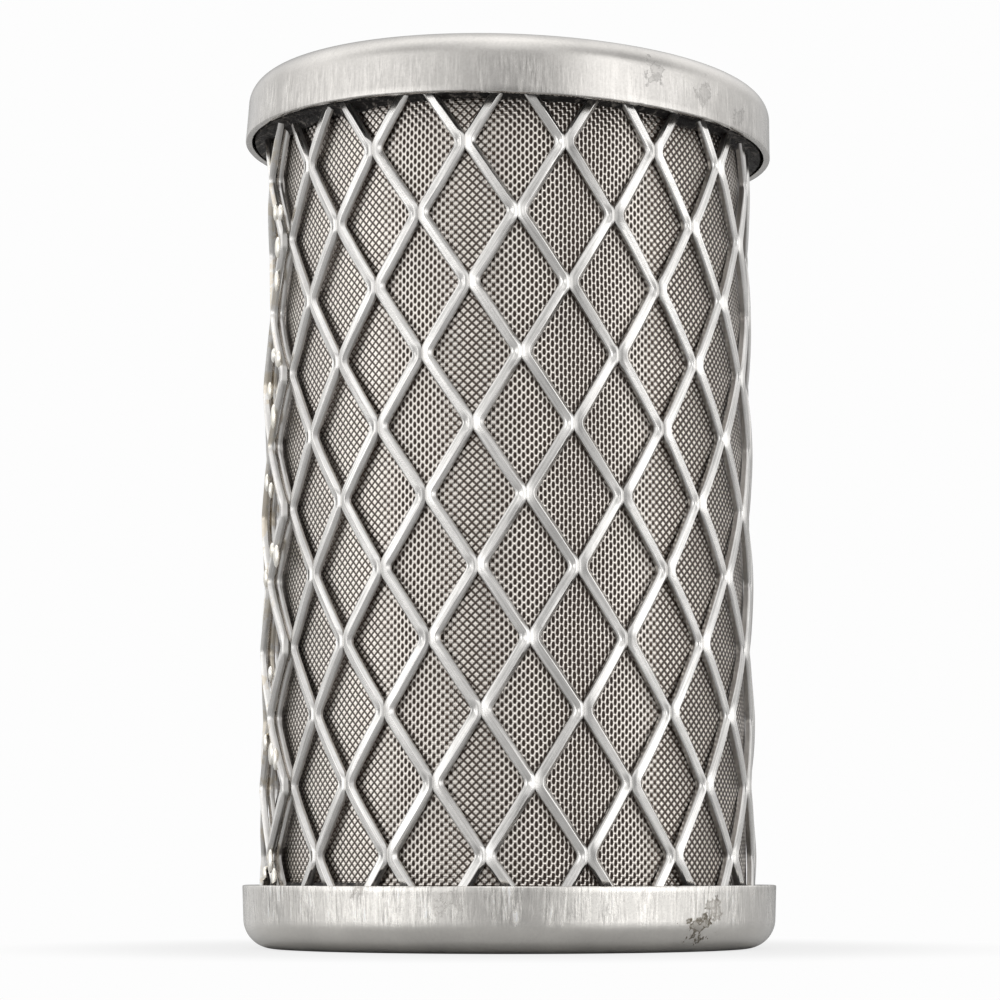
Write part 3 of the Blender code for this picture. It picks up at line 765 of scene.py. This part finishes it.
def expanded_metal_tree():
    """Bends copies of a strand's blank into a lapped sleeve of raised expanded metal."""
    tree, values = new_tree(
        "expanded_metal", Int="Strands First Lap", Material="Material",
        Float="Row_Step Bond Bend Rounding Width Tilt Twist Radius Column_Step Front Lean Top_Row Lap_Ramp "
              "Lap_Sink Lap_Rise Turn Dent Dent_Height Dent_Angle Dent_Spread Waviness")
    line = add(tree, "GeometryNodeMeshLine", {"Count": values["Strands"], "Offset": (0, 0, 0)})
    index = add(tree, "GeometryNodeInputIndex")
    named = add(tree, "GeometryNodeStoreNamedAttribute", {
        "Geometry": line, "Name": "strand", "Value": index,
    }, data_type="INT", domain="POINT")
    copies = add(tree, "GeometryNodeInstanceOnPoints", {"Points": named, "Instance": values["Geometry"]})
    bars = add(tree, "GeometryNodeRealizeInstances", {0: copies})

    position = add(tree, "GeometryNodeInputPosition")
    place = add(tree, "ShaderNodeSeparateXYZ", {0: position}, out=None)
    strand = add(tree, "GeometryNodeInputNamedAttribute", {"Name": "strand"}, data_type="INT")
    corner = add(tree, "GeometryNodeInputNamedAttribute", {"Name": "joined"}, data_type="FLOAT_VECTOR")
    sharp = add(tree, "ShaderNodeSeparateXYZ", {0: corner}, out=None)
    values.update(a=place[0], b=place[1], z=place[2], strand=strand, sharp_a=sharp[0], sharp_b=sharp[1])
    work_out(tree, values, f"""
        strand = strand + First
        down = Top_Row - z
        rows = down / Row_Step, + strand
        wave = rows PINGPONG 1.0
        # The slit's side of a strand stays upright for longer at a joint than its free side.
        part = a / Width
        long = Bond / Row_Step, * 0.5
        short = Bend / Row_Step, * 0.5
        extra = long - short
        both = long + short
        free = 1.0 - both
        still = 0.5 - part
        still = extra * still + short
        share = wave - still, / free, SMOOTH_MIN 1.0 Rounding, SMOOTH_MAX 0.0 Rounding
        rest = 1.0 - share
        side = rest - share
        column = strand + share
        # Corners are worn round, except where two strands are one sheet.
        left = a < 0.0
        away = share - rest, * left + rest
        flush = away * -12.0 + 1.0, MAXIMUM 0.0
        rounded_a = sharp_a - a, * flush + a, / Width
        rounded_b = sharp_b - b, * flush + b
        # Width of a strand at a joint, so that it is the true width between joints.
        arm_cos = Tilt COSINE
        arm_sin = Tilt SINE
        gain = extra / free
        rise = Width * arm_sin
        span = Column_Step * Radius, * gain
        flat = Width * arm_cos, - span
        keep = 1.0 - gain
        flat = flat / keep
        # A strand tilts more on its way left, going down, than on its way right.
        way = rows * {math.pi}, SINE, SIGN
        bow = share * rest, * 6.0, SMOOTH_MIN 1.0 0.3, * way, * Twist
        cos = bow COSINE
        sin = bow SINE
        # The section in the sheet's own plane, then turned by the twist.
        minus_b = rounded_b * -1.0
        u = rounded_a * flat, + minus_b * arm_sin
        v = rounded_a * rise, + rounded_b * arm_cos
        minus_v = v * -1.0
        half_side = side * 0.5
        across = half_side * flat, + u * cos, + minus_v * sin
        outward = half_side * rise, + u * sin, + v * cos
        from_start = column - First, - Lap
        to_end = First - column, + Turn
    """)
    for result, way in (("sunk", "from_start"), ("raised", "to_end")):
        values[result] = add(tree, "ShaderNodeMapRange", {
            "Value": values[way], "From Min": 0.0, "From Max": values["Lap_Ramp"], "To Min": 1.0, "To Max": 0.0,
        }, interpolation_type="SMOOTHSTEP")
    work_out(tree, values, f"""
        radius = raised * Lap_Rise + Radius
        sunk = sunk * -1.0
        radius = sunk * Lap_Sink + radius
        angle = column * Column_Step + Front, + down * Lean
        dent_up = z - Dent_Height, / Dent_Spread, * dent_up
        dent_round = angle - Dent_Angle, WRAP {math.pi} {-math.pi}, * Radius, / Dent_Spread
        dent = dent_round * dent_round + dent_up, * -1.0, EXPONENT, * Dent
        radius = radius - dent
        across = across / radius
        angle = angle + across
        radius = radius + outward
        x = angle SINE, * radius
        y = angle COSINE, * radius, * -1.0
        # Where two strands are one sheet, the faces between them go.
        edge = part ABSOLUTE, > 0.499
        joined = away < 1e-05
        hidden = edge * joined
        right = 1.0 - left
        neighbour = strand - First
        last = Strands - 1.0
        after = last - neighbour
        neighbour = neighbour * left, + after * right, > 0.5
        hidden = hidden * neighbour
    """)
    target = add(tree, "ShaderNodeCombineXYZ", {0: values["x"], 1: values["y"], 2: values["z"]})
    spot = add(tree, "ShaderNodeCombineXYZ", {0: values["part"], 1: values["rows"], 2: values["strand"]})
    marked = add(tree, "GeometryNodeStoreNamedAttribute", {
        "Geometry": bars, "Name": "strand_place", "Value": spot,
    }, data_type="FLOAT_VECTOR", domain="POINT")
    open_bars = add(tree, "GeometryNodeDeleteGeometry", {
        "Geometry": marked, "Selection": values["hidden"],
    }, domain="FACE")
    bent = add(tree, "GeometryNodeSetPosition", {"Geometry": open_bars, "Position": target})
    sheet = add(tree, "GeometryNodeMergeByDistance", {"Geometry": bent, "Distance": 0.01 * MM})
    after = add(tree, "GeometryNodeInputPosition")
    wander = add(tree, "ShaderNodeTexNoise", {"Vector": after, "Scale": 130.0, "Detail": 1.0}, out="Color")
    wander = add(tree, "ShaderNodeVectorMath", {0: wander, 1: (0.5, 0.5, 0.5)}, operation="SUBTRACT")
    wander = add(tree, "ShaderNodeVectorMath", {0: wander, "Scale": values["Waviness"]}, operation="SCALE")
    wander = add(tree, "ShaderNodeVectorMath", {0: wander, 1: (1.2, 1.2, 1.0)}, operation="MULTIPLY")
    wavy = add(tree, "GeometryNodeSetPosition", {"Geometry": sheet, "Offset": wander})
    return close_tree(tree, wavy, values["Material"])


class FILTER_OT_guard(bpy.types.Operator):
    """Make the guard of expanded metal"""
    bl_idname = "filter_element.make_guard"
    bl_label = "Guard"

    def execute(self, context):
        guard = context.scene.filter_guard
        item = strand_blank(guard)
        sizes = {name.title(): getattr(guard, name) for name in guard.__annotations__}
        sizes.update({
            "Strands": 2 * guard.diamonds + guard.lap, "Rounding": BEND_ROUNDING, "Width": guard.strand,
            "Column_Step": math.pi / guard.diamonds, "Lean": math.tan(guard.lean) / guard.radius,
            "Lap_Ramp": float(LAP_RAMP), "Turn": 2.0 * guard.diamonds, "Dent_Angle": DENT_ANGLE,
            "Dent_Spread": DENT_SPREAD, "Material": guard_steel(guard),
        })
        grow(item, expanded_metal_tree(), sizes)
        for name in ("strand", "joined"):
            item.data.attributes.remove(item.data.attributes[name])
        finish_mesh(item, 24)
        hand_over(item, "guard_steel", "guard_sleeve")
        return {"FINISHED"}


WELD_SEAT = 0.42 * MM
WELD_DEPTH = 0.6 * MM
WELDS = [
    # angle in degrees, height in mm, width in mm, length in mm
    (-66, 75.6, 1.17, 1.8), (-69.5, 75.9, 0.91, 1.8), (-68, 72.1, 1.17, 2.28), (-68.5, 68.6, 0.91, 2.28),
    (-70, 60.9, 1.04, 1.56), (-66.5, 60.3, 1.3, 1.8), (-73, 57.4, 1.04, 1.92), (-69.5, 54.5, 1.17, 2.64),
    (-75, 47.9, 0.91, 1.92), (-71, 46.9, 0.78, 1.68), (-69.5, 40.6, 1.17, 1.68), (-66.5, 39.9, 1.3, 2.4),
    (-75.5, 38, 1.17, 1.92), (-70, 28, 0.91, 1.56), (-74.5, 21, 1.17, 1.8), (-69, 19.8, 1.3, 2.4),
    (-66, 19.2, 0.91, 2.28), (-74, 7.6, 1.17, 1.68), (-69, 8.9, 1.04, 2.52), (-66.2, 7.2, 0.91, 2.16),
]


def nugget_tree():
    """Sets a flattened ball at each point, turned to face the way that the point is marked with."""
    tree, values = new_tree("weld_nuggets", Material="Material")
    ball = add(tree, "GeometryNodeMeshUVSphere", {"Segments": 12, "Rings": 8, "Radius": 0.5})
    facing = add(tree, "GeometryNodeInputNamedAttribute", {"Name": "facing"}, data_type="FLOAT_VECTOR")
    size = add(tree, "GeometryNodeInputNamedAttribute", {"Name": "size"}, data_type="FLOAT_VECTOR")
    turn = add(tree, "FunctionNodeAlignRotationToVector", {"Vector": facing}, axis="Y", pivot_axis="Z")
    copies = add(tree, "GeometryNodeInstanceOnPoints", {
        "Points": values["Geometry"], "Instance": ball, "Rotation": turn, "Scale": size,
    })
    return close_tree(tree, copies, values["Material"])


class FILTER_OT_welds(bpy.types.Operator):
    """Make the spot welds along the guard's lap"""
    bl_idname = "filter_element.make_welds"
    bl_label = "Spot welds"

    def execute(self, context):
        guard = context.scene.filter_guard
        points = []
        facing = []
        sizes = []
        for degrees, height, width, tall in WELDS:
            turn = math.radians(degrees)
            out = guard.radius + WELD_SEAT + dent_shift(guard, turn, height * MM)
            points.append((out * math.sin(turn), -out * math.cos(turn), height * MM))
            facing.append((math.sin(turn), -math.cos(turn), 0.0))
            sizes.append((width * MM, WELD_DEPTH, tall * MM))
        item = new_object("seam_welds", points, [], None)
        mark(item, "facing", "FLOAT_VECTOR", "vector", facing)
        mark(item, "size", "FLOAT_VECTOR", "vector", sizes)
        grow(item, nugget_tree(), {"Material": weld_metal()})
        finish_mesh(item)
        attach(item, "root")
        return {"FINISHED"}


class FILTER_OT_cloth(bpy.types.Operator):
    """Make the sleeve of woven wire cloth"""
    bl_idname = "filter_element.make_cloth"
    bl_label = "Wire cloth"

    def execute(self, context):
        cloth = context.scene.filter_cloth
        guard = context.scene.filter_guard
        step = math.pi / guard.diamonds
        lean = math.tan(guard.lean) / guard.radius
        low, high = SLEEVE_LOW.z, SLEEVE_HIGH.z

        def shift(turn, radius, height):
            column = (turn - guard.front - (guard.top_row - height) * lean) / step
            ripple = 0.06 * MM * noise.noise(Vector((math.sin(turn) * 3, math.cos(turn) * 3, height * 90)))
            radius += column_shift(guard, column) + dent_shift(guard, turn, height) + ripple
            return radius, height

        outer = [(cloth.radius, height) for height in np.linspace(low, high, 61)]
        inner = [(cloth.radius - cloth.wall, height) for height in np.linspace(high, low, 13)]
        item = revolve("wire_cloth", outer + inner, 256, woven_wire(cloth, guard), shift)
        hand_over(item, "cloth_steel", "filter_cloth")
        return {"FINISHED"}


CORE_HOLES_ROUND = 8
CORE_HOLE_ROWS = 3


def perforated_tree():
    """A tube with staggered rows of round holes."""
    tree, values = new_tree(
        "perforated_tube", Float="Radius Wall Bottom Top Hole", Int="Holes_Round Rows", Material="Material")
    values["index"] = add(tree, "GeometryNodeInputIndex")
    values = work_out(tree, values, f"""
        tall = Top - Bottom
        middle = Top + Bottom, * 0.5
        inner = Radius - Wall
        taller = tall * 1.2
        count = Holes_Round * Rows
        row = index / Holes_Round, FLOOR
        shift = row MODULO 2.0, * 0.5
        turn = index + shift, + 0.5, * {2 * math.pi}, / Holes_Round
        x = turn SINE
        y = turn COSINE, * -1.0
        px = x * Radius
        py = y * Radius
        pz = row + 0.5, / Rows, * tall + Bottom
        punch = Hole * 0.5
        punch_long = Wall * 6.0
    """)
    at_middle = add(tree, "ShaderNodeCombineXYZ", {2: values["middle"]})
    tubes = []
    for radius, depth in (("Radius", "tall"), ("inner", "taller")):
        body = add(tree, "GeometryNodeMeshCylinder", {
            "Vertices": 96, "Radius": values[radius], "Depth": values[depth],
        })
        tubes.append(add(tree, "GeometryNodeTransform", {"Geometry": body, "Translation": at_middle}))
    line = add(tree, "GeometryNodeMeshLine", {"Count": values["count"], "Offset": (0, 0, 0)})
    spot = add(tree, "ShaderNodeCombineXYZ", {0: values["px"], 1: values["py"], 2: values["pz"]})
    spots = add(tree, "GeometryNodeSetPosition", {"Geometry": line, "Position": spot})
    out = add(tree, "ShaderNodeCombineXYZ", {0: values["x"], 1: values["y"]})
    turn = add(tree, "FunctionNodeAlignRotationToVector", {"Vector": out}, axis="Z")
    punch = add(tree, "GeometryNodeMeshCylinder", {
        "Vertices": 32, "Radius": values["punch"], "Depth": values["punch_long"],
    })
    punches = add(tree, "GeometryNodeInstanceOnPoints", {"Points": spots, "Instance": punch, "Rotation": turn})
    punches = add(tree, "GeometryNodeRealizeInstances", {0: punches})
    cut = add(tree, "GeometryNodeMeshBoolean", {"Mesh 1": tubes[0], "Mesh 2": tubes[1]}, operation="DIFFERENCE")
    feed(tree, cut.node, {"Mesh 2": punches})
    return close_tree(tree, cut, values["Material"])


class FILTER_OT_core(bpy.types.Operator):
    """Make the perforated core"""
    bl_idname = "filter_element.make_core"
    bl_label = "Core"

    def execute(self, context):
        inner = context.scene.filter_inner
        item = new_object("core", [(0, 0, 0)], [], None)
        grow(item, perforated_tree(), {
            "Radius": CORE_HIGH.x, "Wall": inner.core_wall, "Bottom": CORE_LOW.z, "Top": CORE_HIGH.z,
            "Holes_Round": CORE_HOLES_ROUND, "Rows": CORE_HOLE_ROWS, "Hole": inner.core_hole,
            "Material": plain_steel(inner),
        })
        finish_mesh(item)
        hand_over(item, "core_steel", "core_tube")
        return {"FINISHED"}


RESIN_BORE = 19.6 * MM
RESIN_GAP = 0.05 * MM
RESIN_EDGE = 0.2 * MM
RESIN_SURFACE = [
    # radius and height in mm, from the rim inwards
    (26.95, 6.45), (26.5, 6.2), (25.9, 5.98), (25.3, 6.08), (24.9, 6.2), (24.65, 6.45), (24.5, 6.7),
    (24.42, 6.8), (24.2, 6.75), (23.6, 6.2), (22.6, 6.15), (21.4, 6.1), (20.4, 6.1), (19.8, 6.0),
]
RESIN_RUNS = [
    # angle in degrees, height in mm, half width in radians
    (-31, 1.1, 0.09), (29, 0.5, 0.08), (38, 0.8, 0.1), (60, 0.5, 0.12),
]


def resin_shift(seed, creep):
    """Lumps in the resin, which also creeps along the cloth beyond the rim in places."""
    def shift(turn, radius, height):
        spot = Vector((math.sin(turn) * 26, math.cos(turn) * 26, seed + radius / MM))
        lump = noise.noise(spot * 0.9) * 0.10 * MM + noise.noise(spot * 2.7) * 0.05 * MM
        if 24.2 * MM < radius < 25.2 * MM and height > 6.0 * MM:
            wide = noise.noise(Vector((math.sin(turn) * 5, math.cos(turn) * 5, seed)))
            lump += creep * (0.15 + max(wide, 0.0)) * MM
            for place, size, spread in RESIN_RUNS:
                near = math.remainder(turn - math.radians(place), 2 * math.pi) / spread
                lump += creep * size * MM * math.exp(-near * near)
        return radius, height + lump if height > 2 * MM else height
    return shift


class FILTER_OT_resin(bpy.types.Operator):
    """Make the resin in both caps"""
    bl_idname = "filter_element.make_resin"
    bl_label = "Potting resin"

    def execute(self, context):
        caps = context.scene.filter_caps
        inner = context.scene.filter_inner
        resin = cast_resin(inner)
        inset = caps.wall + RESIN_GAP
        wall = cap_outline(caps, caps.radius - caps.lower_trim, caps.corner, inset, caps.depth - RESIN_EDGE, 8)
        surface = [(radius * MM, height * MM) for radius, height in RESIN_SURFACE]
        profile = [(RESIN_BORE, inset)] + wall + surface[:1]
        for pair in zip(surface, surface[1:]):
            profile += rows_between(*pair, 3)
        profile.append((RESIN_BORE, 5.8 * MM))
        lower = revolve("lower_resin", profile, 300, resin, resin_shift(11.0, 0.0))
        hand_over(lower, "potting_resin", "bottom_potting")
        upper = revolve("upper_resin", profile, 300, resin, resin_shift(5.0, 0.7), upper_end(caps))
        hand_over(upper, "potting_resin", "top_potting")
        return {"FINISHED"}


class FILTER_OT_seal(bpy.types.Operator):
    """Make the rubber seal in the outlet"""
    bl_idname = "filter_element.make_seal"
    bl_label = "Seal"

    def execute(self, context):
        caps = context.scene.filter_caps
        bore, outer, lip, low, high, soft = (size * MM for size in (9.4, 10.7, 8.6, 1.6, 6.6, 0.25))
        profile = arc((bore + soft, low + soft), soft, 180, 270, 4)
        profile += arc((outer - soft, low + soft), soft, 270, 360, 4)
        profile += arc((outer - soft, high - soft), soft, 0, 90, 4)
        profile += arc((lip + soft, high - soft), soft, 90, 180, 4)
        step = 0.15 * MM
        profile += [(lip, 6.0 * MM), (lip + step, 5.7 * MM), (bore - step, 5.2 * MM), (bore, 4.9 * MM)]
        rubber = moulded_rubber(context.scene.filter_inner)
        item = revolve("outlet_ring", profile, 96, rubber, None, upper_end(caps))
        hand_over(item, "seal_rubber", "outlet_seal")
        return {"FINISHED"}


LAMPS = [
    # turn from the front, towards the right, and rise in degrees; sharpness; strength
    (-150, 5, 14, 0.66), (-115, 5, 14, 0.42), (-85, 5, 14, 0.65), (-60, 5, 14, 1.21), (-35, 5, 14, 0.81),
    (-12, 5, 14, 0.18), (35, 5, 14, 1.03), (60, 5, 14, 1.17), (85, 5, 14, 0.88), (115, 5, 14, 0.42),
    (150, 5, 14, 0.33), (-140, 40, 9, 0.67), (-95, 40, 9, 1.01), (-10, 40, 9, 0.67), (30, 40, 9, 0.29),
    (110, 40, 9, 0.67), (150, 40, 9, 0.80), (0, 85, 6, 1.40), (42, 24, 40, 0.45),
]


def glow(tree, way):
    """Light of the room from a direction: a sum of large soft lamps far away."""
    values = {"level": 0.0}
    for turn, rise, sharpness, strength in LAMPS:
        turn, rise = math.radians(turn), math.radians(rise)
        to_lamp = (math.sin(turn) * math.cos(rise), -math.cos(turn) * math.cos(rise), math.sin(rise))
        values["near"] = add(tree, "ShaderNodeVectorMath", {
            0: way, 1: to_lamp,
        }, out="Value", operation="DOT_PRODUCT")
        work_out(tree, values, f"""
            near = near - 1.0, * {sharpness}, EXPONENT
            level = near * {strength} + level
        """)
    return values["level"]


FLOOR_REACH = 3.0
CAMERA_ASIDE = -0.82 * MM


class FILTER_OT_stage(bpy.types.Operator):
    """Make the floor, the light and the camera"""
    bl_idname = "filter_element.make_stage"
    bl_label = "Stage"

    def execute(self, context):
        scene = context.scene
        stage = scene.filter_stage
        corners = [(x * FLOOR_REACH, y * FLOOR_REACH, 0) for x, y in ((-1, -1), (1, -1), (1, 1), (-1, 1))]
        plate, tree, shader, coords = new_material("acrylic_plate", Roughness=0.12)
        feed(tree, shader, {"Base Color": (*stage.floor_tint, 1.0)})
        # The camera sees the plate white, without its gloss, and still sees the shadow on it near the filter.
        seen = add(tree, "ShaderNodeLightPath", out="Is Camera Ray")
        white = add(tree, "ShaderNodeEmission", {"Color": (*stage.backdrop_tint, 1.0), "Strength": 1.0})
        dull = add(tree, "ShaderNodeBsdfDiffuse", {"Color": (*stage.floor_tint, 1.0)})
        away = add(tree, "ShaderNodeVectorMath", {0: coords}, out="Value", operation="LENGTH")
        blank = add(tree, "ShaderNodeMapRange", {
            "Value": away, "From Min": 28 * MM, "From Max": 60 * MM, "To Min": 0.8, "To Max": 1.0,
        }, interpolation_type="SMOOTHSTEP")
        pale = add(tree, "ShaderNodeMixShader", {0: blank, 1: dull, 2: white})
        both = add(tree, "ShaderNodeMixShader", {0: seen, 1: shader.outputs[0], 2: pale})
        feed(tree, tree.nodes["Material Output"], {"Surface": both})
        floor = new_object("floor", corners, [(0, 1, 2, 3)], plate)

        world = bpy.data.worlds.new("studio")
        scene.world = world
        world.use_nodes = True
        tree = world.node_tree
        camera_ray = add(tree, "ShaderNodeLightPath", out="Is Camera Ray")
        way = add(tree, "ShaderNodeTexCoord", out="Generated")
        room = glow(tree, way)
        strength = add(tree, "ShaderNodeMix", {0: camera_ray, 2: room, 3: 1.0})
        tint = add(tree, "ShaderNodeMix", {
            0: camera_ray, MIX_A: (*stage.light_tint, 1.0), MIX_B: (*stage.backdrop_tint, 1.0),
        }, out=MIX_OUT, data_type="RGBA")
        feed(tree, tree.nodes["Background"], {"Strength": strength, "Color": tint})

        data = bpy.data.cameras.new("camera")
        data.lens = stage.lens
        data.sensor_width = 36.0
        data.clip_start = 0.01
        camera = bpy.data.objects.new("camera", data)
        camera.location = (CAMERA_ASIDE, -stage.distance, stage.height)
        camera.rotation_euler = (math.pi / 2 + stage.pitch, 0, 0)
        scene.collection.objects.link(camera)
        scene.camera = camera
        scene.view_settings.view_transform = "Standard"
        return {"FINISHED"}


class VIEW3D_PT_filter_element(bpy.types.Panel):
    """Sidebar panel with the pieces of the filter"""
    bl_label = "Mesh filter element"
    bl_idname = "VIEW3D_PT_filter_element"
    bl_space_type = "VIEW_3D"
    bl_region_type = "UI"
    bl_category = "Filter"

    def draw(self, context):
        for name, operators in GROUPS.items():
            box = self.layout.box()
            settings = getattr(context.scene, name)
            for key in settings.__annotations__:
                box.prop(settings, key)
            for operator in operators:
                box.operator(operator.bl_idname)


GROUPS = {
    "filter_stage": [FILTER_OT_stage],
    "filter_caps": [FILTER_OT_caps],
    "filter_guard": [FILTER_OT_guard, FILTER_OT_welds],
    "filter_cloth": [FILTER_OT_cloth],
    "filter_inner": [FILTER_OT_core, FILTER_OT_resin, FILTER_OT_seal],
}
SETTINGS = {
    "filter_stage": StageSettings,
    "filter_caps": CapSettings,
    "filter_guard": GuardSettings,
    "filter_cloth": ClothSettings,
    "filter_inner": InnerSettings,
}
OPERATORS = [operator for operators in GROUPS.values() for operator in operators]


def register():
    """Add the settings, the operators and the panel."""
    for name, settings in SETTINGS.items():
        bpy.utils.register_class(settings)
        setattr(bpy.types.Scene, name, PointerProperty(type=settings))
    for item in [*OPERATORS, VIEW3D_PT_filter_element]:
        bpy.utils.register_class(item)


def unregister():
    """Take them away again."""
    for item in [VIEW3D_PT_filter_element, *OPERATORS]:
        bpy.utils.unregister_class(item)
    for name, settings in SETTINGS.items():
        delattr(bpy.types.Scene, name)
        bpy.utils.unregister_class(settings)


def main():
    """Make the stage and every piece."""
    register()
    for operator in OPERATORS:
        getattr(bpy.ops.filter_element, operator.bl_idname.split(".")[1])()


if __name__ == "__main__":
    main()
